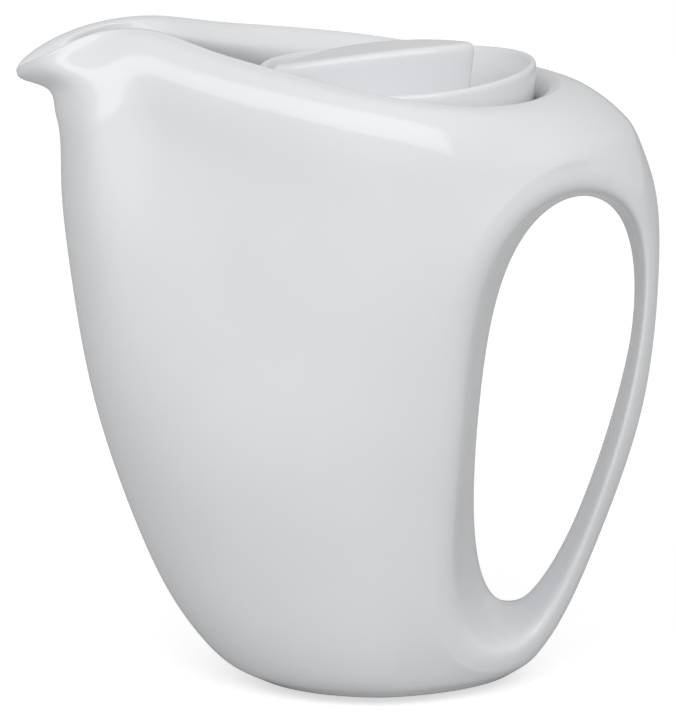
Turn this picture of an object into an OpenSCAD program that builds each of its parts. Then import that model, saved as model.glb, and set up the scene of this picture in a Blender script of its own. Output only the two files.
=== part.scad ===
// Lidded ceramic pitcher: a hollow pot with an open pouring lip, a handle that grows out of the
// shoulder around a finger hole, a foot ring, an inner seat, and a dished lid with a leaf grip.
// Origin: on the table, halfway between the spout's tip and the handle's back. +Z is up, -X is
// the spout and +X is the handle. Reaches are measured from the middle of the foot ring.

/* [Base] */
// Height of the base above the table, which is the height of the foot ring
foot_h = 2; // [1:0.5:6]
// Outside diameter of the foot ring
foot_d = 54; // [36:1:60]
// Width of the foot ring's band
foot_band = 4; // [2:0.5:8]
// Reach of the base edge toward the spout
base_front = 37; // [32:1:50]
// Reach of the base edge toward the handle
base_back = 41; // [32:1:50]
// Half depth of the base edge
base_half = 34; // [31:1:45]

/* [Belly] */
// Height of the lower belly section
low_z = 36; // [28:1:50]
// Reach of the lower belly toward the spout
low_front = 67.5; // [55:0.5:80]
// Reach of the lower belly toward the handle
low_back = 64; // [55:0.5:75]
// Half depth of the lower belly
low_half = 51; // [40:0.5:60]
// Height of the belly section
belly_z = 86; // [70:1:100]
// Reach of the belly toward the spout
belly_front = 85; // [70:0.5:100]
// Reach of the belly and handle toward the back
belly_back = 80.5; // [72:0.5:92]
// Half depth of the belly
belly_half = 59; // [45:0.5:65]
// Height of the shoulder section
shoulder_z = 139; // [125:1:148]
// Reach of the shoulder toward the spout
shoulder_front = 93.5; // [80:0.5:105]
// Reach of the shoulder and handle toward the back
shoulder_back = 84.5; // [76:0.5:96]
// Half depth of the shoulder
shoulder_half = 64; // [58:0.5:70]

/* [Rim] */
// Height of the rim at the back of the mouth
rim_back_z = 183; // [176:1:190]
// Height of the spout's tip
spout_z = 186; // [180:1:194]
// How far the sides of the throat stand above a line from spout tip to rim back
crest_rise = 15; // [8:0.5:22]
// Reach of the spout's tip
spout_reach = 107.5; // [100:0.5:120]
// Half width of the spout's lip at its widest
lip_half = 13; // [9:0.5:18]
// Half width over the pinched throat
throat_half = 9.4; // [8:0.2:14]
// Diameter of the round mouth that takes the lid
mouth_d = 86; // [76:1:92]
// How far behind the foot's middle the mouth's middle lies
mouth_x = 5.7; // [0:0.1:12]
// Width of the rolled rim around the mouth
rim_roll = 6; // [4:0.5:8]
// How far the shoulder stands out from the rim where it has rolled over to steep
shoulder_out = 10.2; // [8:0.2:12]

/* [Walls and seat] */
// Thickness of the pot's wall
wall = 4; // [3:0.5:6]
// Thickness of the pot's floor
floor_t = 5; // [4:0.5:9]
// Depth of the seat's ledge below the rim back
seat_drop = 11; // [9:0.5:14]
// Width of the seat's ledge
seat_w = 6.5; // [4:0.5:10]
// Thickness of the seat's ledge
seat_t = 3.5; // [2.5:0.5:6]
// How far the seat is let into the wall around the mouth
seat_root = 1.5; // [1:0.5:3]
// Angle that the seat covers, the rest being open toward the spout
seat_angle = 230; // [180:5:260]

/* [Lid] */
// Clearance around the lid in the mouth
lid_gap = 1.2; // [0.4:0.1:2]
// Thickness of the lid's wall
lid_wall = 3; // [2:0.5:5]
// How much the lid's wall leans in toward its foot
lid_lean = 1.5; // [0:0.25:3]
// Thickness of the lid's floor
lid_floor = 5; // [3:0.5:7]
// Height of the lid's lowest edge above the seat
lid_h = 14.2; // [10:0.2:18]
// How much higher the lid's collar stands at the back
collar_rise = 3.6; // [0.2:0.2:8]
// Distance of the collar's lowest point in front of the lid's middle
collar_low = 11; // [0:1:20]
// Depth of the ring under the lid that keeps it in the seat
spigot_h = 6; // [3:0.5:12]
// Thickness of the ring under the lid
spigot_t = 3; // [2:0.5:5]
// Clearance between the ring under the lid and the seat
spigot_gap = 0.8; // [0.4:0.1:2]

/* [Lid grip] */
// Length of the grip
grip_l = 61; // [40:1:64]
// Widest width of the grip
grip_w = 22; // [12:1:30]
// Distance of the grip's pointed end in front of the lid's middle
grip_front = 37.5; // [28:0.5:38]
// Height of the grip's top over the seat
grip_h = 22.6; // [16:0.2:30]
// How much lower the grip's top is at its pointed end
grip_fall = 7.4; // [2:0.2:10]

/* [Handle hole] */
// Height of the hole's lowest point
hole_low_z = 22.5; // [18:0.5:34]
// Height of the hole's highest point
hole_high_z = 148; // [130:0.5:151]
// Distance of the hole's lowest point behind the foot's middle
hole_low_x = 40; // [37:0.5:46]
// Distance of the hole's highest point behind the foot's middle
hole_high_x = 61.5; // [54:0.5:66]
// Width of the hole, across the line between those points
hole_w = 42; // [30:0.5:43]
// Rounding of the hole's edges on the pot
hole_round = 7; // [3:0.5:10]
// Rounding of the hole's edges on the handle's strap
strap_round = 4; // [1:0.5:4.5]
// Slope of the hole's side next to the pot, as a share of the distance from the middle
hole_draft = 0.13; // [0:0.01:0.3]
// Slope of the hole's side next to the strap
strap_draft = 0.06; // [0:0.01:0.2]
// Slope of the hole's top and bottom
end_draft = 0.3; // [0:0.01:0.35]

/* [Hidden] */
around = 48;
steps = 3;
white = [0.93, 0.94, 0.95];
bisque = [0.86, 0.84, 0.80];

function mix(a, b, t) = a + (b - a) * t;

// Smooth curve through key values: a, b, c and d are neighbours and t runs from b to c.
function smooth(a, b, c, d, t) =
    0.5 * (2 * b + (c - a) * t + (2 * a - 5 * b + 4 * c - d) * t * t
        + (3 * b - a - 3 * c + d) * t * t * t);

// A list of keys at a fractional place, with each end's slope carried on.
function along(keys, v) =
    let (n = len(keys) - 1, i = min(floor(v), n - 1))
    smooth(i > 0 ? keys[i - 1] : 2 * keys[0] - keys[1], keys[i], keys[i + 1],
        i < n - 1 ? keys[i + 2] : 2 * keys[n] - keys[n - 1], v - i);

function flat(list) = [for (a = list) for (b = a) b];

// Distance of the foot's middle behind the part's origin, which is halfway along the part.
origin_x = (spout_reach - shoulder_back) / 2;
mouth_r = mouth_d / 2;
rim_half = mouth_r + rim_roll;
rim_back = mouth_x + rim_half;
seat_z = rim_back_z - seat_drop;
under_z = seat_z - seat_t;

// Half widths of the rim from the spout's tip to the back, at twelve equal turns.
rim_side = [0, 0.5 * lip_half, lip_half, throat_half, throat_half + 3.4,
    0.53 * rim_half, 0.78 * rim_half, 0.965 * rim_half, 0.985 * rim_half,
    0.86 * rim_half, 0.625 * rim_half, 0.33 * rim_half, 0];

// Rise of the rim over the straight line from its tip to its back, as a share of crest_rise.
crown = [0, 0.22, 0.52, 0.90, 1.02, 0.75, 0.53, 0.31, 0.12, -0.02, -0.05, -0.03, 0];

function side_at(u) = u <= 0 || u >= 1 ? 0 : along(rim_side, 12 * u);
function crown_at(u) = crest_rise * along(crown, 12 * u);

// The pot's own oval: half width at a turn u, with the fuller end toward the spout.
function oval(u) = u <= 0 || u >= 1 ? 0 : pow(sin(180 * u), 0.92) * (1 - 0.16 * max(0, -cos(180 * u)));

// The hollow's oval is blunt where it backs on to the handle's hole.
function blunt(u) = u <= 0 || u >= 1 ? 0 : pow(sin(180 * u), u < 0.5 ? 0.92 : 0.5);

function ease(low, high, v) = let (t = min(max((v - low) / (high - low), 0), 1)) t * t * (3 - 2 * t);

// The rim's ridge at a turn u, on its positive side.
function rim_point(u) =
    let (s = (1 - cos(180 * u)) / 2)
    [mix(-spout_reach, rim_back, s), side_at(u), mix(spout_z, rim_back_z, s) + crown_at(u)];

// The turn at which the ridge passes x.
function turn_at(x) = acos(1 - 2 * min(max((x + spout_reach) / (rim_back + spout_reach), 0.001), 0.999)) / 180;

function out_from(u) =
    let (e = rim_point(u + 0.005) - rim_point(u - 0.005))
    [-e[1], e[0], 0] / norm([e[0], e[1]]);

// The turn from which a step outward from the ridge lands at x.
function swept_turn(x, out, u, n) = n == 0 ? u : swept_turn(x, out, turn_at(x - out_from(u)[0] * out), n - 1);

// The place at x that lies so far outward from the ridge and so far below it.
function swept_point(x, out, drop) =
    let (u = swept_turn(x, out, turn_at(x), 5), p = rim_point(u) + out_from(u) * out)
    [x, p[1], p[2] - drop];

// A ring is [front x, back x, half depth, front z, back z, crown, pinch, inset, bluntness, sweep,
// out, drop]. Sweep draws the ring's sides to a place beside the ridge, given by out and drop.
function half_at(r, u) =
    let (own = mix(oval(u), blunt(u), r[8]), w = mix(own, side_at(u) / rim_half, r[6]) * r[2])
    max(0.55 * w, w - r[7] * pow(max(0, sin(180 * u)), 0.35));

function ring_point(r, a) =
    let (u = a <= 180 ? a / 180 : (360 - a) / 180, s = (1 - cos(180 * u)) / 2,
        w = u <= 0 || u >= 1 ? 0 : half_at(r, u),
        own = [mix(r[0], r[1], s), w, mix(r[3], r[4], s) + r[5] * crown_at(u)],
        sweep = min(r[9], 1) * ease(-0.82 * spout_reach, -0.61 * spout_reach, own[0])
            * (1 - ease(rim_back - 34.7, rim_back + 3.3, own[0])),
        p = sweep > 0 ? mix(own, swept_point(own[0], r[10], r[11]), sweep) : own)
    [p[0], a <= 180 ? -p[1] : p[1], p[2]];

function ring(r) = [for (i = [0:around - 1]) ring_point(r, 360 * i / around)];

heel_z = mix(foot_h, low_z, 0.25);

outer = [
    [-base_front, base_back, base_half, foot_h, foot_h, 0, 0, 0, 0, 0, shoulder_out + 1.8, 182],
    [-mix(base_front, low_front, 0.45), mix(base_back, low_back, 0.45),
        mix(base_half, low_half, 0.55), heel_z, heel_z, 0, 0, 0, 0, 0, shoulder_out + 1.8, 174],
    [-low_front, low_back, low_half, low_z, low_z, 0, 0, 0, 0, 0, shoulder_out + 1.8, 150],
    [-belly_front, belly_back, belly_half, belly_z, belly_z, 0, 0, 0, 0, 0, shoulder_out + 1.8, 100],
    [-shoulder_front, shoulder_back, shoulder_half, shoulder_z, shoulder_z, 0.05, 0.3, 0, 0,
        0, shoulder_out + 1.8, 50],
    [-shoulder_front - 1, shoulder_back - 6, shoulder_half - 1.5, mix(shoulder_z, spout_z, 0.55),
        mix(shoulder_z, rim_back_z, 0.58), 0.3, 0.44, 0, 0, 1, shoulder_out + 1.3, 24],
    [-mix(shoulder_front, spout_reach, 0.17), mix(shoulder_back, rim_back, 0.41),
        mix(shoulder_half, rim_half, 0.4), spout_z - 13, rim_back_z - 9.6,
        0.5, 0.58, 0, 0, 1, shoulder_out, 12],
    [-mix(shoulder_front, spout_reach, 0.3), mix(shoulder_back, rim_back, 0.68),
        mix(shoulder_half, rim_half, 0.66), spout_z - 6, rim_back_z - 3.5,
        0.75, 0.72, 0, 0, 1, 0.755 * shoulder_out, 5.6],
    [-spout_reach + 1.4, rim_back + 0.6 * rim_roll, rim_half + 0.3 * rim_roll, spout_z - 2.8,
        rim_back_z - 0.15 * rim_roll, 0.96, 0.96, 0, 0, 1, 0.43 * shoulder_out, 1.6],
    [-spout_reach, rim_back, rim_half, spout_z, rim_back_z, 1, 1, 0, 0, 1, 0, 0]
];

inner = [
    [-spout_reach, rim_back, rim_half, spout_z, rim_back_z, 1, 1, 0, 0, 0, 0, 0],
    [-spout_reach + 1.5, rim_back - 0.6 * rim_roll, rim_half, spout_z + 0.2,
        rim_back_z - 0.3 * rim_roll, 1, 1, 0.55 * rim_roll, 0, 0, 0, 0],
    [-spout_reach + wall, rim_back - rim_roll, rim_half, spout_z - 0.5,
        rim_back_z - rim_roll, 1, 1, rim_roll, 0, 0, 0, 0],
    [-spout_reach + 2.5 * wall, rim_back - rim_roll, rim_half, spout_z - 2,
        seat_z + 1, 0.85, 1, rim_roll, 0, 0, 0, 0],
    [-shoulder_front + wall - 1.5, rim_back - rim_roll, rim_half - 2, spout_z - 9,
        under_z, 0.6, 0.75, 0.7 * rim_roll, 0, 0, 0, 0],
    [-shoulder_front - 1 + wall, rim_back - rim_roll + 2, shoulder_half - wall - 2.5,
        mix(shoulder_z, spout_z, 0.55), mix(shoulder_z, under_z, 0.6), 0.25, 0.62, 0, 0, 0, 0, 0],
    [-shoulder_front + wall, hole_high_x - 5 * wall, shoulder_half - wall, shoulder_z - 3,
        shoulder_z - 3, 0, 0.3, 0, 0.5, 0, 0, 0],
    [-belly_front + wall, mix(hole_low_x, hole_high_x, 0.55) - hole_w / 2 - wall,
        belly_half - wall, belly_z, belly_z, 0, 0, 0, 1, 0, 0, 0],
    [-low_front + wall, mix(hole_low_x, hole_high_x, 0.1) - 0.35 * hole_w / 2 - 2 * wall,
        low_half - wall, low_z, low_z, 0, 0, 0, 1, 0, 0, 0],
    [-mix(base_front, low_front, 0.4) + wall, mix(base_back, low_back, 0.2) - 4 * wall,
        mix(base_half, low_half, 0.4) - wall, heel_z + 5, heel_z + 5, 0, 0, 0, 0.6, 0, 0, 0],
    [-base_front + wall, base_back - 3.5 * wall, base_half - wall,
        foot_h + floor_t, foot_h + floor_t, 0, 0, 0, 0.3, 0, 0, 0]
];

function lofted(keys) = [for (k = [0:(len(keys) - 1) * steps]) ring(along(keys, k / steps))];

outer_rings = lofted(outer);
inner_rings = lofted(inner);
shell_rings = concat(outer_rings, [for (k = [1:len(inner_rings) - 1]) inner_rings[k]]);

function sides(m) =
    let (n = around)
    [for (k = [0:m - 2], i = [0:n - 1], h = [0, 1])
        h == 0 ? [k * n + i, (k + 1) * n + i, (k + 1) * n + (i + 1) % n]
            : [k * n + i, (k + 1) * n + (i + 1) % n, k * n + (i + 1) % n]];

// The pot's whole outer form, handle included, closed over its mouth by a cone that dips inward.
module envelope() {
    n = around;
    m = len(outer_rings);
    polyhedron(
        points = concat(flat(outer_rings), [[-10, 0, shoulder_z]]),
        faces = concat([[for (i = [0:n - 1]) i]], sides(m),
            [for (i = [0:n - 1]) [(m - 1) * n + i, m * n, (m - 1) * n + (i + 1) % n]])
    );
}

// The same form made hollow: up the outside, over the rolled rim and down the inside to the floor.
module shell() {
    n = around;
    m = len(shell_rings);
    polyhedron(
        points = flat(shell_rings),
        faces = concat([[for (i = [0:n - 1]) i]], sides(m),
            [[for (i = [0:n - 1]) (m - 1) * n + n - 1 - i]])
    );
}

// Half depth of the outer form at a place x, z on its middle plane, sought from turn u of ring k.
function depth_at(x, z, u = 0.8, k = 4, n = 9) =
    let (r = along(outer, k), p = ring_point(r, 180 * u))
    n == 0 ? abs(p[1])
        : let (over_u = (ring_point(r, 180 * (u + 0.002)) - p) / 0.002,
            over_k = (ring_point(along(outer, k + 0.01), 180 * u) - p) / 0.01,
            dx = x - p[0], dz = z - p[2], area = over_u[0] * over_k[2] - over_u[2] * over_k[0],
            du = (dx * over_k[2] - dz * over_k[0]) / area, dk = (over_u[0] * dz - over_u[2] * dx) / area)
        depth_at(x, z, min(max(u + min(max(du, -0.15), 0.15), 0.02), 0.977),
            min(max(k + min(max(dk, -1), 1), 0), len(outer) - 1.1), n - 1);

// The finger hole's outline on the middle plane: an egg that leans back as it rises.
hole_h = hole_high_z - hole_low_z;

function hole_edge(a) =
    let (t = (1 - cos(a)) / 2)
    [mix(hole_low_x, hole_high_x, t + 0.055 * pow(sin(180 * t), 2))
        + hole_w / 2.1 * sin(a) * (0.88 + 0.1 * t + 0.38 * t * t), hole_low_z + hole_h * t];

// The outline moved outward by d along its normal.
function hole_moved(a, d) =
    let (e = hole_edge(a + 2) - hole_edge(a - 2), n = [e[1], -e[0]] / norm(e))
    hole_edge(a) + n * d;

// How far the hole's cutter runs on past its rounding, out of the skin.
hole_clear = 8;

// The hole's edge at the middle plane (0), up its sloping inside (1 and 2), around its rounding
// (3 to 5), out through the skin (6) and clear of the pot (7), on the side s of the middle plane.
turn = [0, 0, 0, 25, 45, 60, 60, 60];

function hole_point(a, k, s) =
    let (lean = pow(max(0, sin(a)), 0.5), r = mix(hole_round, strap_round, lean),
        slope = mix(sin(a) > 0 ? strap_draft : hole_draft, end_draft, pow(cos(a), 2)),
        q = hole_moved(a, slope * 0.6 * belly_half), p = hole_moved(a, slope * depth_at(q[0], q[1]) + 0.4 * r),
        deep = depth_at(p[0], p[1]), start = max(0.3 * deep, deep - r), out = k > 5 ? r + hole_clear : 0,
        y = k == 0 ? 0 : k == 1 ? start / 2 : start + r * sin(turn[k]) + out * cos(turn[k]),
        d = slope * min(y, start) + r * (1 - cos(turn[k])) + out * sin(turn[k]), e = hole_moved(a, d))
    [e[0], s * (k == 7 ? 100 : y), e[1]];

function hole_ring(k, s) = [for (i = [0:47]) hole_point(7.5 * i, k, s)];

// A solid wedge from one stretch of the hole's edge to the hole's own axis.
module wedge(near, far, i) {
    j = (i + 1) % len(near);
    mid = [mix(hole_low_x, hole_high_x, 0.5), 0, mix(hole_low_z, hole_high_z, 0.5)];
    axis = [for (r = [near, far]) mid + [0, mix(r[0][1], r[24][1], 0.5), 0]];
    hull()
        polyhedron(points = concat([near[i], near[j], far[i], far[j]], axis), faces = [[0, 1, 2, 3, 4, 5]]);
}

module finger_hole() {
    for (s = [-1, 1], k = [1:7]) {
        near = hole_ring(k - 1, s);
        far = hole_ring(k, s);
        for (i = [0:47])
            wedge(near, far, i);
    }
}

// Everything behind the plane through the hole's lowest and highest points.
module behind_joint() {
    lean = atan2(hole_high_x - hole_low_x, hole_high_z - hole_low_z);
    translate([hole_low_x, 0, hole_low_z])
        rotate([0, lean, 0])
            translate([0, -100, -100])
                cube([150, 200, 350]);
}

module seat_profile(out) {
    translate([mouth_r - seat_w, under_z])
        square([seat_w + out, seat_t]);
}

module seat_shape(out) {
    translate([mouth_x, 0, 0])
        rotate([0, 0, -seat_angle / 2])
            rotate_extrude(angle = seat_angle, $fn = 96)
                seat_profile(out);
}

// Everything is drawn from the middle of the foot ring, then moved to the part's origin.
module placed() {
    translate([origin_x, 0, 0]) children();
}

module body() {
    color(white)
        placed()
            difference() {
                shell();
                finger_hole();
                behind_joint();
                translate([mouth_x, 0, under_z])
                    cylinder(r = mouth_r, h = 60, $fn = 96);
                seat_shape(seat_root);
            }
}

module handle() {
    color(white)
        placed()
            difference() {
                intersection() {
                    envelope();
                    behind_joint();
                }
                finger_hole();
            }
}

module foot_ring() {
    r = foot_d / 2;
    color(bisque)
        placed()
            rotate_extrude($fn = 96)
                polygon([[r - foot_band, foot_h], [r - foot_band, 0.6], [r - foot_band + 0.6, 0],
                    [r - 0.6, 0], [r, 0.6], [r, foot_h]]);
}

module lid_seat() {
    color(white)
        placed()
            seat_shape(seat_root - 0.03);
}

lid_r = mouth_r - lid_gap;
spigot_r = mouth_r - seat_w - spigot_gap;
top_z = seat_z + lid_h;
// The collar's edge is cut by a large cylinder across the lid.
collar_r = pow(lid_r + collar_low, 2) / (2 * collar_rise);

module lid() {
    inside = lid_r - lid_wall;
    foot = inside - 0.8 * lid_lean;
    brim = top_z + collar_rise + 1;
    color(white)
        placed()
            translate([mouth_x, 0, 0])
                difference() {
                    rotate_extrude($fn = 96)
                        polygon([
                            [0, seat_z + 1], [spigot_r - spigot_t, seat_z + 1],
                            [spigot_r - spigot_t, seat_z - spigot_h], [spigot_r, seat_z - spigot_h],
                            [spigot_r, seat_z], [lid_r - lid_lean, seat_z], [lid_r, brim],
                            [inside, brim], [foot, seat_z + lid_floor + 1.5],
                            [foot - 1.5, seat_z + lid_floor], [0, seat_z + lid_floor]
                        ]);
                    translate([-collar_low, 0, top_z + collar_r])
                        rotate([90, 0, 0])
                            cylinder(r = collar_r, h = 200, center = true, $fn = 200);
                }
}

// Half width of the grip's leaf at a share t of its length from the pointed end.
function leaf(t) = grip_w / 2 * pow(sin(180 * pow(t, 0.8)), 0.75) * (0.75 + 0.25 * t) * 1.12;

module lid_grip() {
    n = 16;
    fall_r = pow(0.92 * grip_l, 2) / (2 * grip_fall);
    tip = mouth_x - grip_front;
    edge = [for (i = [0:n]) let (t = (1 - cos(180 * i / n)) / 2) [tip + t * grip_l, leaf(t)]];
    color(white)
        placed()
            intersection() {
                translate([0, 0, seat_z + lid_floor])
                    linear_extrude(height = grip_h)
                        polygon(concat(edge, [for (i = [n - 1:-1:1]) [edge[i][0], -edge[i][1]]]));
                translate([tip + 0.92 * grip_l, 0, seat_z + grip_h - fall_r])
                    rotate([90, 0, 0])
                        cylinder(r = fall_r, h = 100, center = true, $fn = 200);
            }
}

body();
handle();
foot_ring();
lid_seat();
lid();
lid_grip();
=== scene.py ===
import math

import bmesh
import bpy
import numpy as np
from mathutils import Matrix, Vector
from mathutils.kdtree import KDTree


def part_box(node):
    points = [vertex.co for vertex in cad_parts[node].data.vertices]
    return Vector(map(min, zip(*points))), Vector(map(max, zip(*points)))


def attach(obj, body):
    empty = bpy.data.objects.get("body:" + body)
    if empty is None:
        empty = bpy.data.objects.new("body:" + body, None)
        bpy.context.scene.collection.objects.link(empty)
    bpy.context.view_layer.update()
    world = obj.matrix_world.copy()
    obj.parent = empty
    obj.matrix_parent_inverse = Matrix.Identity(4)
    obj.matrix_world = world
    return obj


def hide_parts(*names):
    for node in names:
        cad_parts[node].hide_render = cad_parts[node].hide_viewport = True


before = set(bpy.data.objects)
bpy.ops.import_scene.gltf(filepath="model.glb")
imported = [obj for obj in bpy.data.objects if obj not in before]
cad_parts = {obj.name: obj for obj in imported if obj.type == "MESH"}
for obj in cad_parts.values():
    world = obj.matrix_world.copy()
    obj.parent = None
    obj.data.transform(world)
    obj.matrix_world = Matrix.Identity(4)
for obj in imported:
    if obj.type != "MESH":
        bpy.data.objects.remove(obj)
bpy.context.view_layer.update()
print("frame loaded")

# Places that everything is measured from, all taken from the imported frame.
footLow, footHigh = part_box("foot_ring")
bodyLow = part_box("body")[0]
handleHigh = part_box("handle")[1]
seatLow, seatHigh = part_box("lid_seat")
lidLow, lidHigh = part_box("lid")
gripLow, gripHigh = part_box("lid_grip")
footX = (footLow.x + footHigh.x) / 2
footTop = footHigh.z
seatTop = seatHigh.z
lidX = (lidLow.x + lidHigh.x) / 2
lidRadius = (lidHigh.x - lidLow.x) / 2


def mix(a, b, t):
    return a + (b - a) * t


def curveThrough(keys, place):
    # A smooth curve through rows of key values, at a fractional row.
    last = len(keys) - 1
    i = min(int(math.floor(place)), last - 1)
    t = place - i
    b, c = keys[i], keys[i + 1]
    a = keys[i - 1] if i > 0 else 2 * b - c
    d = keys[i + 2] if i < last - 1 else 2 * c - b
    square = 2 * a - 5 * b + 4 * c - d
    cube = 3 * b - a - 3 * c + d
    return 0.5 * (2 * b + (c - a) * t + square * t ** 2 + cube * t ** 3)


def deselectAll():
    for other in bpy.context.selected_objects:
        other.select_set(False)


def makeActive(piece):
    deselectAll()
    piece.select_set(True)
    bpy.context.view_layer.objects.active = piece


def named(name):
    piece = bpy.context.active_object
    piece.name = name
    piece.data.name = name
    return piece


def finishModifier(piece, kind, **settings):
    makeActive(piece)
    modifier = piece.modifiers.new(kind.title(), kind)
    for key, value in settings.items():
        setattr(modifier, key, value)
    bpy.ops.object.modifier_apply(modifier=modifier.name)


def roundOff(piece, levels):
    finishModifier(piece, "SUBSURF", levels=levels, render_levels=levels)


# The pot.
pot = {
    "baseFront": 0.037, "baseBack": 0.041, "baseHalf": 0.034,
    "lowZ": 0.036, "lowFront": 0.0675, "lowBack": 0.064, "lowHalf": 0.051,
    "bellyZ": 0.086, "bellyFront": 0.085, "bellyBack": 0.0805, "bellyHalf": 0.059,
    "shoulderZ": 0.139, "shoulderFront": 0.0935, "shoulderBack": handleHigh.x - footX,
    "shoulderHalf": 0.064,
    "rimBackZ": seatTop + 0.011, "spoutZ": 0.186, "crestRise": 0.015,
    "spoutReach": footX - bodyLow.x, "lipHalf": 0.013, "throatHalf": 0.0094,
    "mouthX": lidX - footX, "mouthRadius": 0.043, "rimRoll": 0.006,
    "wall": 0.004, "floorZ": 0.007,
    "sweepStart": (-0.088, -0.066), "sweepEnd": (0.020, 0.058),
    "columns": 64, "ringsPerKey": 4, "smoothing": 2,
}
hole = {
    "lowZ": 0.0225, "highZ": 0.148, "lowX": 0.040, "highX": 0.0615, "width": 0.042,
    "draft": 0.13, "strapDraft": 0.06, "endDraft": 0.25,
    "potRound": 0.0065, "endRound": 0.0075, "strapRound": 0.005,
    "columns": (17, 31), "rings": (3, 21), "ringsToEdge": 3,
}
rimHalf = pot["mouthRadius"] + pot["rimRoll"]
rimBack = pot["mouthX"] + rimHalf

# Half widths of the rim from the spout's tip to its back, at twelve equal turns.
rimSide = np.array([
    0, 0.5 * pot["lipHalf"], pot["lipHalf"], pot["throatHalf"], pot["throatHalf"] + 0.0034,
    0.53 * rimHalf, 0.78 * rimHalf, 0.965 * rimHalf, 0.985 * rimHalf,
    0.86 * rimHalf, 0.625 * rimHalf, 0.33 * rimHalf, 0])
# Rise of the rim over the straight line from its tip to its back, as a share of the crest's.
crown = np.array([0, 0.22, 0.52, 0.90, 1.02, 0.75, 0.53, 0.31, 0.12, -0.02, -0.05, -0.03, 0])


def ovalAt(u):
    # Share of the half depth all round an egg-shaped section, narrower toward the back.
    turn = math.pi * u
    return math.sin(turn) ** 0.92 * (1 - 0.16 * max(0, -math.cos(turn)))


def bluntAt(u):
    # The same with a squarer back, as the cavity has behind the finger hole.
    return math.sin(math.pi * u) ** (0.92 if u < 0.5 else 0.5)


def halfAt(key, u):
    # Half depth of a key section: oval or squarer, drawn in toward the rim's shape, less the inset.
    if u <= 0 or u >= 1:
        return 0
    own = mix(ovalAt(u), bluntAt(u), key[8])
    wide = mix(own, curveThrough(rimSide, 12 * u) / rimHalf, key[6]) * key[2]
    return max(0.55 * wide, wide - key[7] * math.sin(math.pi * u) ** 0.35)


def ease(low, high, value):
    t = min(max((value - low) / (high - low), 0), 1)
    return t * t * (3 - 2 * t)


def crestAt(u):
    return pot["crestRise"] * curveThrough(crown, 12 * u)


def rimPoint(u):
    share = (1 - math.cos(math.pi * u)) / 2
    wide = curveThrough(rimSide, 12 * u) if 0 < u < 1 else 0
    height = mix(pot["spoutZ"], pot["rimBackZ"], share) + crestAt(u)
    return Vector((mix(-pot["spoutReach"], rimBack, share), wide, height))


def rimTurnAt(x):
    share = (x + pot["spoutReach"]) / (rimBack + pot["spoutReach"])
    return math.acos(1 - 2 * min(max(share, 0.001), 0.999)) / math.pi


def sweptPoint(x, out, drop):
    # The place at x that lies so far outward from the rim and so far below it.
    u = rimTurnAt(x)
    for _ in range(5):
        along = rimPoint(u + 0.005) - rimPoint(u - 0.005)
        outward = Vector((-along.y, along.x, 0)).normalized()
        u = rimTurnAt(x - outward.x * out)
    place = rimPoint(u) + outward * out
    return Vector((x, place.y, place.z - drop))


def skinPoint(key, turn):
    # turn runs from 0 at the spout, round the near side to 1 at the back, and on to 2.
    u = turn if turn <= 1 else 2 - turn
    share = (1 - math.cos(math.pi * u)) / 2
    x = mix(key[0], key[1], share)
    place = Vector((x, halfAt(key, u), mix(key[3], key[4], share) + key[5] * crestAt(u)))
    swept = min(key[9], 1) * ease(*pot["sweepStart"], x) * (1 - ease(*pot["sweepEnd"], x))
    if swept > 0:
        place = place.lerp(sweptPoint(x, key[10], key[11]), swept)
    return Vector((footX + place.x, -place.y if turn <= 1 else place.y, place.z))


def skinRing(key):
    return [skinPoint(key, 2 * i / pot["columns"]) for i in range(pot["columns"])]


heelZ = mix(footTop, pot["lowZ"], 0.25)
rimRoll = pot["rimRoll"]
wall = pot["wall"]
underSeat = seatLow.z

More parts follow.
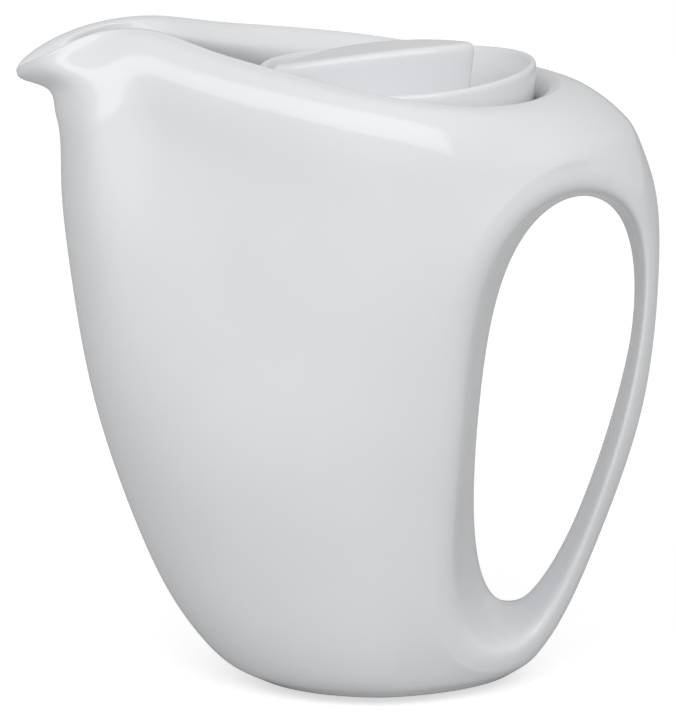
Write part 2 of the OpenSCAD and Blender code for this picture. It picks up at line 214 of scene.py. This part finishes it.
# Each key section: front x, back x, half depth, front z, back z, crown, pinch, inset, bluntness,
# then how far it follows the rim's own curve, and how far out from the rim and below it it then lies.
outerKeys = np.array([
    [-pot["baseFront"], pot["baseBack"], pot["baseHalf"], footTop, footTop, 0, 0, 0, 0, 0, 0.012, 0.182],
    [-mix(pot["baseFront"], pot["lowFront"], 0.45), mix(pot["baseBack"], pot["lowBack"], 0.45),
     mix(pot["baseHalf"], pot["lowHalf"], 0.55), heelZ, heelZ, 0, 0, 0, 0, 0, 0.012, 0.174],
    [-pot["lowFront"], pot["lowBack"], pot["lowHalf"], pot["lowZ"], pot["lowZ"], 0, 0, 0, 0, 0, 0.012, 0.15],
    [-pot["bellyFront"], pot["bellyBack"], pot["bellyHalf"], pot["bellyZ"], pot["bellyZ"],
     0, 0, 0, 0, 0, 0.012, 0.1],
    [-pot["shoulderFront"], pot["shoulderBack"], pot["shoulderHalf"],
     pot["shoulderZ"], pot["shoulderZ"], 0.05, 0.3, 0, 0, 0, 0.012, 0.05],
    [-pot["shoulderFront"] - 0.001, pot["shoulderBack"] - 0.006, pot["shoulderHalf"] - 0.0015,
     mix(pot["shoulderZ"], pot["spoutZ"], 0.55), mix(pot["shoulderZ"], pot["rimBackZ"], 0.58),
     0.3, 0.44, 0, 0, 1, 0.0115, 0.024],
    [-mix(pot["shoulderFront"], pot["spoutReach"], 0.17), mix(pot["shoulderBack"], rimBack, 0.41),
     mix(pot["shoulderHalf"], rimHalf, 0.4), pot["spoutZ"] - 0.013, pot["rimBackZ"] - 0.0096,
     0.5, 0.58, 0, 0, 1, 0.0102, 0.012],
    [-mix(pot["shoulderFront"], pot["spoutReach"], 0.3), mix(pot["shoulderBack"], rimBack, 0.68),
     mix(pot["shoulderHalf"], rimHalf, 0.66), pot["spoutZ"] - 0.006, pot["rimBackZ"] - 0.0035,
     0.75, 0.72, 0, 0, 1, 0.0077, 0.0056],
    [-pot["spoutReach"] + 0.0014, rimBack + 0.6 * rimRoll, rimHalf + 0.3 * rimRoll,
     pot["spoutZ"] - 0.0028, pot["rimBackZ"] - 0.15 * rimRoll, 0.96, 0.96, 0, 0, 1, 0.0044, 0.0016],
    [-pot["spoutReach"], rimBack, rimHalf, pot["spoutZ"], pot["rimBackZ"], 1, 1, 0, 0, 1, 0, 0],
])
innerKeys = np.array([
    [-pot["spoutReach"], rimBack, rimHalf, pot["spoutZ"], pot["rimBackZ"], 1, 1, 0, 0, 0, 0, 0],
    [-pot["spoutReach"] + 0.0015, rimBack - 0.6 * rimRoll, rimHalf, pot["spoutZ"] + 0.0002,
     pot["rimBackZ"] - 0.3 * rimRoll, 1, 1, 0.55 * rimRoll, 0, 0, 0, 0],
    [-pot["spoutReach"] + wall, rimBack - rimRoll, rimHalf, pot["spoutZ"] - 0.0005,
     pot["rimBackZ"] - rimRoll, 1, 1, rimRoll, 0, 0, 0, 0],
    [-pot["spoutReach"] + 2.5 * wall, rimBack - rimRoll, rimHalf, pot["spoutZ"] - 0.002,
     seatTop + 0.001, 0.85, 1, rimRoll, 0, 0, 0, 0],
    [-pot["shoulderFront"] + wall - 0.0015, rimBack - rimRoll, rimHalf - 0.002, pot["spoutZ"] - 0.009,
     underSeat, 0.6, 0.75, 0.7 * rimRoll, 0, 0, 0, 0],
    [-pot["shoulderFront"] - 0.001 + wall, rimBack - rimRoll + 0.002, pot["shoulderHalf"] - 2.25 * wall,
     mix(pot["shoulderZ"], pot["spoutZ"], 0.55), mix(pot["shoulderZ"], underSeat, 0.6),
     0.25, 0.62, 0, 0, 0, 0, 0],
    [-pot["shoulderFront"] + wall, hole["highX"] - 5.5 * wall, pot["shoulderHalf"] - 2.25 * wall,
     pot["shoulderZ"] - 0.003, pot["shoulderZ"] - 0.003, 0, 0.3, 0, 0.4, 0, 0, 0],
    [-pot["bellyFront"] + wall, mix(hole["lowX"], hole["highX"], 0.55) - hole["width"] / 2 - 1.5 * wall,
     pot["bellyHalf"] - 2.25 * wall, pot["bellyZ"], pot["bellyZ"], 0, 0, 0, 0.6, 0, 0, 0],
    [-pot["lowFront"] + wall, mix(hole["lowX"], hole["highX"], 0.1) - 0.175 * hole["width"] - 2 * wall,
     pot["lowHalf"] - 1.75 * wall, pot["lowZ"], pot["lowZ"], 0, 0, 0, 0.7, 0, 0, 0],
    [-mix(pot["baseFront"], pot["lowFront"], 0.4) + wall,
     mix(pot["baseBack"], pot["lowBack"], 0.2) - 4 * wall,
     mix(pot["baseHalf"], pot["lowHalf"], 0.4) - wall, heelZ + 0.005, heelZ + 0.005, 0, 0, 0, 0.6, 0, 0, 0],
    [-pot["baseFront"] + wall, pot["baseBack"] - 3.5 * wall, pot["baseHalf"] - wall,
     pot["floorZ"], pot["floorZ"], 0, 0, 0, 0.3, 0, 0, 0],
])


def skinDepth(x, z):
    # Half depth of the outer skin at a place on the middle plane, x measured from the foot's middle.
    place, u = 4.0, 0.8
    for _ in range(12):
        spot = skinPoint(curveThrough(outerKeys, place), u)
        overU = (skinPoint(curveThrough(outerKeys, place), u + 0.002) - spot) / 0.002
        overPlace = (skinPoint(curveThrough(outerKeys, place + 0.01), u) - spot) / 0.01
        missX, missZ = x + footX - spot.x, z - spot.z
        area = overU.x * overPlace.z - overU.z * overPlace.x
        u += min(max((missX * overPlace.z - missZ * overPlace.x) / area, -0.15), 0.15)
        place += min(max((overU.x * missZ - overU.z * missX) / area, -1), 1)
        u, place = min(max(u, 0.02), 0.99), min(max(place, 0), 8.9)
    return abs(skinPoint(curveThrough(outerKeys, place), u).y)


def holeMiddle(rise):
    # The egg's long line leans back as it rises.
    return mix(hole["lowX"], hole["highX"], rise + 0.055 * math.sin(math.pi * rise) ** 2)


def holeEdge(turn):
    # The finger hole's outline on the middle plane: 0 is its lowest point, a quarter turn the strap.
    rise = (1 - math.cos(turn)) / 2
    lean = holeMiddle(rise)
    swell = 0.88 + 0.1 * rise + 0.38 * rise ** 2
    return Vector((lean + hole["width"] / 2.1 * math.sin(turn) * swell,
                   hole["lowZ"] + (hole["highZ"] - hole["lowZ"]) * rise))


def holeTurn(x, z):
    # Which way round the outline a place on the middle plane lies.
    rise = (z - hole["lowZ"]) / (hole["highZ"] - hole["lowZ"])
    return math.atan2((x - holeMiddle(min(max(rise, 0), 1))) / (hole["width"] / 2), 1 - 2 * rise)


def holeSection(turn, side):
    # Points from the skin, over the rounded edge and along the wall to the middle plane.
    edge = holeEdge(turn)
    along = holeEdge(turn + 0.03) - holeEdge(turn - 0.03)
    outward = Vector((along.y, -along.x)).normalized()
    onStrap, end = math.sin(turn) > 0, math.cos(turn) ** 2
    slope = mix(hole["strapDraft"] if onStrap else hole["draft"], hole["endDraft"], end)
    radius = mix(hole["strapRound"] if onStrap else hole["potRound"], hole["endRound"], end)

    def depthOut(distance):
        spot = edge + outward * distance
        return skinDepth(spot.x, spot.y)

    corner = 0.015
    for _ in range(6):
        corner = depthOut(slope * corner)
    step = 0.001
    fall = (depthOut(slope * corner + step) - corner) / step
    reach = slope * corner + radius / math.sqrt(1 + fall ** 2)
    start = Vector((reach, depthOut(reach)))
    sharp = Vector((slope * corner, corner))
    inside = sharp - Vector((slope, 1)).normalized() * radius
    section = [start]
    for t in (0.33, 0.67):
        section.append(start * (1 - t) ** 2 + sharp * 2 * t * (1 - t) + inside * t ** 2)
    section += [inside * t for t in (1, 0.62, 0.28, 0)]
    places = []
    for point in section:
        spot = edge + outward * point.x
        places.append(Vector((footX + spot.x, side * point.y, spot.y)))
    return places


def growRing(piece, before, after):
    # Extrudes the selected open edge, which lies at before, and moves its corners to after.
    bpy.ops.mesh.extrude_region_move()
    work = bmesh.from_edit_mesh(piece.data)
    corners = [vert for vert in work.verts if vert.select]
    tree = KDTree(len(before))
    for i, place in enumerate(before):
        tree.insert(place, i)
    tree.balance()
    for vert in corners:
        vert.co = after[tree.find(vert.co)[1]]
    bmesh.update_edit_mesh(piece.data)


def selectPlaces(piece, places, reach=1e-5):
    # Selects the corners at the given places and the edges between them.
    bpy.ops.mesh.select_all(action="DESELECT")
    bpy.ops.mesh.select_mode(type="VERT")
    work = bmesh.from_edit_mesh(piece.data)
    tree = KDTree(len(places))
    for i, place in enumerate(places):
        tree.insert(place, i)
    tree.balance()
    for vert in work.verts:
        vert.select = tree.find(vert.co)[2] < reach
    work.select_flush(True)
    bmesh.update_edit_mesh(piece.data)


def makePot():
    columns, steps = pot["columns"], pot["ringsPerKey"]
    base = skinRing(outerKeys[0])
    bpy.ops.mesh.primitive_circle_add(vertices=columns, radius=pot["baseHalf"], location=(footX, 0, footTop))
    skin = named("potSkin")
    bpy.ops.object.transform_apply()
    bpy.ops.object.mode_set(mode="EDIT")
    work = bmesh.from_edit_mesh(skin.data)
    work.verts.ensure_lookup_table()
    for vert, place in zip(work.verts, base):
        vert.co = place
    bmesh.update_edit_mesh(skin.data)

    # Up the outside.
    outside = [skinRing(curveThrough(outerKeys, k / steps)) for k in range((len(outerKeys) - 1) * steps + 1)]
    for before, after in zip(outside, outside[1:]):
        growRing(skin, before, after)
    # Over the rolled rim, down the inside and in across the floor.
    inside = [outside[-1]]
    for k in range(1, (len(innerKeys) - 1) * steps + 1):
        inside.append(skinRing(curveThrough(innerKeys, k / steps)))
    middle = Vector((footX, 0, pot["floorZ"]))
    for share in (0.86, 0.5, 0.2):
        inside.append([middle + (place - middle) * share for place in inside[(len(innerKeys) - 1) * steps]])
    for before, after in zip(inside, inside[1:]):
        growRing(skin, before, after)
    bpy.ops.mesh.merge(type="CENTER")

    # The underside: round its edge, flat over the foot ring, a little hollow inside it.
    selectPlaces(skin, base)
    ringOut = (footHigh.x - footLow.x) / 2
    under = [base]
    middle = Vector((footX, 0, footTop))
    under.append([middle + (place - middle) * 0.965 for place in base])
    hollow = ((ringOut + 0.002, 0), (ringOut - 0.002, 0), (ringOut - 0.005, 0.0006), (0.010, 0.0012))
    for radius, rise in hollow:
        lift = Vector((0, 0, rise))
        under.append([middle + (place - middle).normalized() * radius + lift for place in base])
    for before, after in zip(under, under[1:]):
        growRing(skin, before, after)
    bpy.ops.mesh.merge(type="CENTER")

    # The finger hole: a block of the skin comes out on each side, and the wall grows inward from it.
    for side in (-1, 1):
        openFingerHole(skin, outside, side)
    bpy.ops.mesh.select_all(action="SELECT")
    bpy.ops.mesh.remove_doubles(threshold=1e-6)
    bpy.ops.mesh.normals_make_consistent(inside=False)
    bpy.ops.object.mode_set(mode="OBJECT")
    roundOff(skin, pot["smoothing"])
    bpy.ops.object.shade_smooth()
    return skin


def openFingerHole(skin, outside, side):
    columns = pot["columns"]
    left, right = hole["columns"]
    bottom, top = hole["rings"]

    def gridPlace(column, ring):
        return outside[ring][column if side < 0 else columns - column]

    border = [gridPlace(c, bottom) for c in range(left, right)]
    border += [gridPlace(right, r) for r in range(bottom, top)]
    border += [gridPlace(c, top) for c in range(right, left, -1)]
    border += [gridPlace(left, r) for r in range(top, bottom, -1)]
    block = [gridPlace(c, r) for c in range(left, right + 1) for r in range(bottom, top + 1)]
    selectPlaces(skin, block)
    bpy.ops.mesh.delete(type="FACE")
    selectPlaces(skin, border)
    sections = [holeSection(holeTurn(place.x - footX, place.z), side) for place in border]
    rings = [border]
    for m in range(1, hole["ringsToEdge"]):
        ring = []
        for place, section in zip(border, sections):
            spot = place.lerp(section[0], m / hole["ringsToEdge"])
            ring.append(Vector((spot.x, side * skinDepth(spot.x - footX, spot.z), spot.z)))
        rings.append(ring)
    rings += [[section[k] for section in sections] for k in range(len(sections[0]))]
    for before, after in zip(rings, rings[1:]):
        growRing(skin, before, after)
    bpy.ops.mesh.select_all(action="DESELECT")


def cutFrom(skin, name, keepHandle):
    # One side of the joint that runs through both ends of the finger hole, closed with flat faces.
    makeActive(skin)
    bpy.ops.object.duplicate()
    part = named(name)
    low = Vector((footX + hole["lowX"], 0, hole["lowZ"]))
    along = Vector((hole["highX"] - hole["lowX"], 0, hole["highZ"] - hole["lowZ"])).normalized()
    across = Vector((along.z, 0, -along.x))
    bpy.ops.object.mode_set(mode="EDIT")
    bpy.ops.mesh.select_all(action="SELECT")
    bpy.ops.mesh.bisect(plane_co=low, plane_no=across, use_fill=True, clear_inner=keepHandle,
                        clear_outer=not keepHandle)
    bpy.ops.object.mode_set(mode="OBJECT")
    # The cut keeps the whole skin's shading, so that no seam shows, and the flat faces keep their own.
    finishModifier(part, "DATA_TRANSFER", object=skin, use_loop_data=True,
                   data_types_loops={"CUSTOM_NORMAL"}, loop_mapping="POLYINTERP_NEAREST")
    normals = [corner.vector.copy() for corner in part.data.corner_normals]
    for face in part.data.polygons:
        if abs(face.normal.dot(across)) > 0.999 and abs((face.center - low).dot(across)) < 1e-5:
            for corner in face.loop_indices:
                normals[corner] = face.normal.copy()
    part.data.normals_split_custom_set(normals)
    return part


potSkin = makePot()
print("pot modelled:", len(potSkin.data.polygons), "faces")
potBody = cutFrom(potSkin, "potBody", False)
potHandle = cutFrom(potSkin, "potHandle", True)
bpy.data.objects.remove(potSkin)
print("handle joint cut:", len(potBody.data.polygons), "and", len(potHandle.data.polygons), "faces")

# The lid.
lid = {
    "wall": 0.003, "lean": 0.0015, "floorZ": gripLow.z, "height": 0.0142, "collarRise": 0.0036,
    "collarLow": 0.011, "spigotRadius": 0.0357, "spigotWall": 0.003,
    "turns": 64,
}


def brimAt(x):
    # Height of the collar's edge, which dips toward the front of the lid.
    distance = x - (lidX - lid["collarLow"])
    reach = lidRadius + lid["collarLow"]
    return seatTop + lid["height"] + lid["collarRise"] * (distance / reach) ** 2


def makeLid():
    foot = lidRadius - lid["lean"]
    brim = seatTop + lid["height"]
    half = lid["wall"] / 2
    floor = lid["floorZ"]
    inner = lidRadius - lid["wall"]
    spigot, low = lid["spigotRadius"], lidLow.z
    profile = [
        (0, floor), (0.012, floor), (inner - 0.009, floor), (inner - 0.0038, floor + 0.0006),
        (inner - 0.0015, floor + 0.0028), (inner - 0.0005, floor + 0.006),
        (inner, brim - 0.0016), (inner + 0.0004, brim - 0.0004), (inner + half, brim),
        (lidRadius - 0.0004, brim - 0.0004), (lidRadius, brim - 0.0016),
        (mix(foot, lidRadius, 0.4), mix(seatTop, brim, 0.4)),
        (foot + 0.0002, seatTop + 0.0016), (foot - 0.0002, seatTop + 0.0003), (foot - 0.0014, seatTop),
        (spigot + 0.0009, seatTop), (spigot, seatTop - 0.0008), (spigot, low + 0.001),
        (spigot - 0.0008, low), (spigot - lid["spigotWall"] + 0.0008, low),
        (spigot - lid["spigotWall"], low + 0.001), (spigot - lid["spigotWall"], seatTop),
        (spigot - lid["spigotWall"] - 0.0015, seatTop + 0.001), (0.012, seatTop + 0.001),
        (0, seatTop + 0.001),
    ]
    bpy.ops.mesh.primitive_circle_add(vertices=3, radius=0.001, location=(lidX, 0, floor))
    cup = named("lidCup")
    bpy.ops.object.transform_apply()
    bpy.ops.object.mode_set(mode="EDIT")
    work = bmesh.from_edit_mesh(cup.data)
    bmesh.ops.delete(work, geom=work.verts[:], context="VERTS")
    line = [work.verts.new((lidX + r, 0, z)) for r, z in profile]
    for a, b in zip(line, line[1:]):
        work.edges.new((a, b))
    bmesh.update_edit_mesh(cup.data)
    bpy.ops.mesh.select_all(action="SELECT")
    bpy.ops.mesh.spin(steps=lid["turns"], angle=2 * math.pi, center=(lidX, 0, 0), axis=(0, 0, 1))
    bpy.ops.mesh.select_all(action="SELECT")
    bpy.ops.mesh.remove_doubles(threshold=1e-5)
    bpy.ops.mesh.normals_make_consistent(inside=False)
    # The collar's edge sweeps up toward the back.
    work = bmesh.from_edit_mesh(cup.data)
    for vert in work.verts:
        share = (vert.co.z - floor - 0.003) / (brim - floor - 0.003)
        if share > 0:
            vert.co.z += share * (brimAt(vert.co.x) - brim)
    bmesh.update_edit_mesh(cup.data)
    bpy.ops.object.mode_set(mode="OBJECT")
    roundOff(cup, 2)
    bpy.ops.object.shade_smooth()
    return cup


lidCup = makeLid()
print("lid modelled:", len(lidCup.data.polygons), "faces")

grip = {
    "length": gripHigh.x - gripLow.x, "halfWidth": gripHigh.y, "height": gripHigh.z, "fall": 0.0074,
    "round": 0.0026, "lean": 0.0019, "points": 52,
}


def leafHalf(t):
    # Half width of the grip at a share of its length from the pointed end to the rounded one.
    return grip["halfWidth"] * max(math.sin(math.pi * t ** 0.9), 0) ** mix(0.85, 0.55, t)


def gripTop(x):
    # The top slopes down to the pointed end in one long arc.
    peak = gripLow.x + 0.92 * grip["length"]
    return grip["height"] - grip["fall"] * ((x - peak) / (0.92 * grip["length"])) ** 2


def leafEdge():
    # Points in even steps from the pointed end along the near side, then back along the far side.
    half = grip["points"] // 2
    fine = []
    for k in range(601):
        t = (1 - math.cos(math.pi * k / 600)) / 2
        fine.append((gripLow.x + t * grip["length"], -leafHalf(t)))
    fine = np.array(fine)
    far = np.concatenate([[0], np.cumsum(np.hypot(*np.diff(fine, axis=0).T))])
    steps = np.linspace(0, far[-1], half + 1)
    near = [Vector((np.interp(d, far, fine[:, 0]), np.interp(d, far, fine[:, 1]))) for d in steps]
    near[0].y = near[-1].y = 0
    return near + [Vector((place.x, -place.y)) for place in near[-2:0:-1]]


def makeGrip():
    edge = leafEdge()
    count = len(edge)

    def ring(inset, drop, narrow=1):
        # The edge moved inward, so far below the top.
        places = []
        for i, place in enumerate(edge):
            along = edge[(i + 1) % count] - edge[i - 1]
            spot = place + Vector((-along.y, along.x)).normalized() * inset
            places.append(Vector((spot.x, spot.y * narrow, gripTop(spot.x) - drop)))
        return places

    def lowRing(share):
        # The sides lean in toward the dish's floor.
        places = ring(grip["lean"] * share, grip["round"])
        return [Vector((place.x, place.y, mix(place.z, lid["floorZ"], share))) for place in places]

    edgeRound = grip["round"]
    rings = [lowRing(1), lowRing(0.93), lowRing(0.45), ring(0, edgeRound), ring(0.0003, 0.45 * edgeRound),
             ring(0.0009, 0.12 * edgeRound), ring(0.0019, 0), ring(0.0021, 0, 0.6), ring(0.0021, 0, 0)]
    bpy.ops.mesh.primitive_circle_add(vertices=count, radius=0.01, location=(lidX, 0, lid["floorZ"]))
    leaf = named("gripLeaf")
    bpy.ops.object.transform_apply()
    bpy.ops.object.mode_set(mode="EDIT")
    work = bmesh.from_edit_mesh(leaf.data)
    work.verts.ensure_lookup_table()
    for vert, place in zip(work.verts, rings[0]):
        vert.co = place
    bmesh.update_edit_mesh(leaf.data)
    for before, after in zip(rings, rings[1:]):
        growRing(leaf, before, after)
    selectPlaces(leaf, rings[0])
    bpy.ops.mesh.edge_face_add()
    bpy.ops.mesh.select_all(action="SELECT")
    bpy.ops.mesh.remove_doubles(threshold=1e-5)
    bpy.ops.mesh.normals_make_consistent(inside=False)
    bpy.ops.object.mode_set(mode="OBJECT")
    roundOff(leaf, 2)
    bpy.ops.object.shade_smooth()
    return leaf


gripLeaf = makeGrip()
print("grip modelled:", len(gripLeaf.data.polygons), "faces")


# Foot ring and seat.
def makeRing(name, profile, centreX, turns, start, sweep):
    # A band made by spinning a closed outline of (radius, height) round a vertical axis.
    bpy.ops.mesh.primitive_circle_add(vertices=len(profile), radius=0.001, location=(0, 0, 0))
    band = named(name)
    bpy.ops.object.mode_set(mode="EDIT")
    work = bmesh.from_edit_mesh(band.data)
    work.verts.ensure_lookup_table()
    for vert, (radius, height) in zip(work.verts, profile):
        vert.co = (centreX + radius * math.cos(start), radius * math.sin(start), height)
    bmesh.update_edit_mesh(band.data)
    bpy.ops.mesh.select_all(action="SELECT")
    full = sweep >= 2 * math.pi - 1e-6
    bpy.ops.mesh.spin(steps=turns, angle=sweep, center=(centreX, 0, 0), axis=(0, 0, 1))
    if not full:
        for angle in (start, start + sweep):
            across, along = math.cos(angle), math.sin(angle)
            selectPlaces(band, [Vector((centreX + r * across, r * along, h)) for r, h in profile])
            bpy.ops.mesh.edge_face_add()
    bpy.ops.mesh.select_all(action="SELECT")
    bpy.ops.mesh.remove_doubles(threshold=1e-5)
    bpy.ops.mesh.normals_make_consistent(inside=False)
    bpy.ops.object.mode_set(mode="OBJECT")
    roundOff(band, 2)
    bpy.ops.object.shade_smooth()
    return band


footRadius = (footHigh.x - footLow.x) / 2
footBand = makeRing("footBand", [
    (footRadius - 0.004, footTop), (footRadius - 0.004, 0.0006), (footRadius - 0.0036, 0.0001),
    (footRadius - 0.003, 0), (footRadius - 0.001, 0), (footRadius - 0.0004, 0.0001),
    (footRadius, 0.0006), (footRadius, footTop)], footX, 48, 0, 2 * math.pi)
seatInner = pot["mouthRadius"] - 0.0065
seatOuter = pot["mouthRadius"] + 0.0012
seatLedge = makeRing("seatLedge", [
    (seatOuter, seatLow.z), (seatInner + 0.0015, seatLow.z), (seatInner + 0.0003, seatLow.z + 0.0004),
    (seatInner, seatLow.z + 0.0014), (seatInner, seatTop - 0.0012), (seatInner + 0.0003, seatTop - 0.0003),
    (seatInner + 0.0012, seatTop), (seatOuter, seatTop)], lidX, 44, math.radians(-115), math.radians(230))
print("foot ring and seat modelled")


# Finishes.
def newMaterial(name):
    material = bpy.data.materials.new(name)
    material.use_nodes = True
    nodes = material.node_tree.nodes
    return material, nodes, material.node_tree.links, nodes["Principled BSDF"]


def makeMottleGroup():
    # Slow and fine unevenness of fired clay and glaze: a mask, a roughness and a height.
    group = bpy.data.node_groups.new("Fired surface", "ShaderNodeTree")
    face = group.interface
    face.new_socket("Vector", in_out="INPUT", socket_type="NodeSocketVector")
    for title, value in (("Broad scale", 20), ("Fine scale", 600), ("Roughness low", 0.1),
                         ("Roughness high", 0.2), ("Fine share", 0.3)):
        socket = face.new_socket(title, in_out="INPUT", socket_type="NodeSocketFloat")
        socket.default_value = value
    for title in ("Mask", "Roughness", "Height"):
        face.new_socket(title, in_out="OUTPUT", socket_type="NodeSocketFloat")
    nodes, links = group.nodes, group.links
    start = nodes.new("NodeGroupInput")
    end = nodes.new("NodeGroupOutput")
    broad = nodes.new("ShaderNodeTexNoise")
    broad.inputs["Detail"].default_value = 3
    fine = nodes.new("ShaderNodeTexNoise")
    fine.inputs["Detail"].default_value = 2
    links.new(start.outputs["Vector"], broad.inputs["Vector"])
    links.new(start.outputs["Vector"], fine.inputs["Vector"])
    links.new(start.outputs["Broad scale"], broad.inputs["Scale"])
    links.new(start.outputs["Fine scale"], fine.inputs["Scale"])
    spread = nodes.new("ShaderNodeMapRange")
    spread.inputs["From Min"].default_value = 0.35
    spread.inputs["From Max"].default_value = 0.65
    links.new(broad.outputs["Fac"], spread.inputs["Value"])
    links.new(spread.outputs["Result"], end.inputs["Mask"])
    rough = nodes.new("ShaderNodeMapRange")
    links.new(spread.outputs["Result"], rough.inputs["Value"])
    links.new(start.outputs["Roughness low"], rough.inputs["To Min"])
    links.new(start.outputs["Roughness high"], rough.inputs["To Max"])
    links.new(rough.outputs["Result"], end.inputs["Roughness"])
    height = nodes.new("ShaderNodeMix")
    links.new(start.outputs["Fine share"], height.inputs["Factor"])
    links.new(broad.outputs["Fac"], height.inputs["A"])
    links.new(fine.outputs["Fac"], height.inputs["B"])
    links.new(height.outputs["Result"], end.inputs["Height"])
    return group


firedSurface = makeMottleGroup()


def firedMaterial(name, look):
    material, nodes, links, shader = newMaterial(name)
    place = nodes.new("ShaderNodeTexCoord")
    fired = nodes.new("ShaderNodeGroup")
    fired.node_tree = firedSurface
    for title in ("Broad scale", "Fine scale", "Roughness low", "Roughness high", "Fine share"):
        fired.inputs[title].default_value = look[title]
    links.new(place.outputs["Object"], fired.inputs["Vector"])
    tone = nodes.new("ShaderNodeMix")
    tone.data_type = "RGBA"
    tone.inputs["A"].default_value = (*look["dark"], 1)
    tone.inputs["B"].default_value = (*look["light"], 1)
    links.new(fired.outputs["Mask"], tone.inputs["Factor"])
    links.new(tone.outputs["Result"], shader.inputs["Base Color"])
    links.new(fired.outputs["Roughness"], shader.inputs["Roughness"])
    bump = nodes.new("ShaderNodeBump")
    bump.inputs["Strength"].default_value = look["bump"]
    bump.inputs["Distance"].default_value = look["depth"]
    links.new(fired.outputs["Height"], bump.inputs["Height"])
    links.new(bump.outputs["Normal"], shader.inputs["Normal"])
    shader.inputs["IOR"].default_value = look["ior"]
    return material


glaze = firedMaterial("White glaze", {
    "Broad scale": 22, "Fine scale": 420, "Roughness low": 0.10, "Roughness high": 0.15, "Fine share": 0.12,
    "dark": (0.785, 0.797, 0.815), "light": (0.805, 0.815, 0.832), "bump": 0.12, "depth": 0.0004, "ior": 1.5})
bareClay = firedMaterial("Bare clay", {
    "Broad scale": 60, "Fine scale": 1500, "Roughness low": 0.7, "Roughness high": 0.9, "Fine share": 0.8,
    "dark": (0.58, 0.55, 0.50), "light": (0.70, 0.67, 0.62), "bump": 0.5, "depth": 0.0003, "ior": 1.45})

for piece, body, slotName, replaced in (
        (potBody, "pot", "glaze", "body"), (potHandle, "pot", "glaze", "handle"),
        (seatLedge, "pot", "glaze", "lid_seat"), (footBand, "pot", "bare_clay", "foot_ring"),
        (lidCup, "cover", "glaze", "lid"), (gripLeaf, "cover", "glaze", "lid_grip")):
    piece.data.materials.clear()
    piece.data.materials.append(bareClay if slotName == "bare_clay" else glaze)
    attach(piece, body)
    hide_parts(replaced)
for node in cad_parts.values():
    node.data.materials.clear()
    node.data.materials.append(glaze)
print("finishes set")

# Floor, light and camera.
setting = {
    "floorSize": 8, "floorTone": 0.62, "floorGlow": 0.62,
    "worldLeft": 0.40, "worldRight": 0.98, "worldTopShare": 0.82,
    "softboxSize": (4.4, 1.46), "softboxPlace": (-1.05, -1.22, 1.54), "softboxTurn": -8, "softboxRoll": 9,
    "softboxPower": 42,
    "cameraTarget": (-0.0002, 0, 0.0985), "cameraDistance": 2.0, "cameraRise": 13, "lens": 355,
}
bpy.ops.mesh.primitive_plane_add(size=setting["floorSize"], location=(0, 0, footLow.z))
floor = named("floor")
bpy.ops.object.transform_apply()
floorPaint, nodes, links, shader = newMaterial("Pale floor")
shader.inputs["Base Color"].default_value = (*[setting["floorTone"]] * 3, 1)
shader.inputs["Roughness"].default_value = 0.9
ray = nodes.new("ShaderNodeLightPath")
glow = nodes.new("ShaderNodeMath")
glow.operation = "MULTIPLY"
glow.inputs[1].default_value = setting["floorGlow"]
links.new(ray.outputs["Is Camera Ray"], glow.inputs[0])
shader.inputs["Emission Color"].default_value = (1, 1, 1, 1)
links.new(glow.outputs["Value"], shader.inputs["Emission Strength"])
floor.data.materials.append(floorPaint)


def setWorld():
    world = bpy.data.worlds.new("Studio")
    bpy.context.scene.world = world
    world.use_nodes = True
    nodes, links = world.node_tree.nodes, world.node_tree.links
    nodes.clear()
    output = nodes.new("ShaderNodeOutputWorld")
    shown = nodes.new("ShaderNodeBackground")
    shown.inputs["Color"].default_value = (1, 1, 1, 1)
    lit = nodes.new("ShaderNodeBackground")
    place = nodes.new("ShaderNodeTexCoord")
    split = nodes.new("ShaderNodeSeparateXYZ")
    level = nodes.new("ShaderNodeMapRange")
    level.inputs["From Min"].default_value = -1
    level.inputs["From Max"].default_value = 1
    level.inputs["To Min"].default_value = setting["worldLeft"]
    level.inputs["To Max"].default_value = setting["worldRight"]
    links.new(place.outputs["Generated"], split.inputs["Vector"])
    links.new(split.outputs["X"], level.inputs["Value"])
    overhead = nodes.new("ShaderNodeMapRange")
    overhead.inputs["From Min"].default_value = 0.2
    overhead.inputs["To Min"].default_value = 1
    overhead.inputs["To Max"].default_value = setting["worldTopShare"]
    links.new(split.outputs["Z"], overhead.inputs["Value"])
    strength = nodes.new("ShaderNodeMath")
    strength.operation = "MULTIPLY"
    links.new(level.outputs["Result"], strength.inputs[0])
    links.new(overhead.outputs["Result"], strength.inputs[1])
    links.new(strength.outputs["Value"], lit.inputs["Strength"])
    ray = nodes.new("ShaderNodeLightPath")
    pick = nodes.new("ShaderNodeMixShader")
    links.new(ray.outputs["Is Camera Ray"], pick.inputs["Fac"])
    links.new(lit.outputs["Background"], pick.inputs[1])
    links.new(shown.outputs["Background"], pick.inputs[2])
    links.new(pick.outputs["Shader"], output.inputs["Surface"])


setWorld()
bpy.ops.object.light_add(type="AREA", location=setting["softboxPlace"])
softbox = bpy.context.active_object
softbox.name = "softbox"
softbox.data.shape = "RECTANGLE"
softbox.data.size, softbox.data.size_y = setting["softboxSize"]
softbox.data.energy = setting["softboxPower"]
roll, turn = math.radians(setting["softboxRoll"]), math.radians(setting["softboxTurn"])
softbox.rotation_euler = (math.pi / 2, roll, turn)

rise = math.radians(setting["cameraRise"])
away = Vector((0, -math.cos(rise), math.sin(rise))) * setting["cameraDistance"]
target = Vector(setting["cameraTarget"])
bpy.ops.object.camera_add(location=target + away, rotation=(math.pi / 2 - rise, 0, 0))
camera = bpy.context.active_object
camera.data.sensor_fit = "HORIZONTAL"
camera.data.sensor_width = 36
camera.data.lens = setting["lens"]
camera.data.clip_end = 50
bpy.context.scene.camera = camera
bpy.context.scene.view_settings.view_transform = "Standard"

print("scene ready")
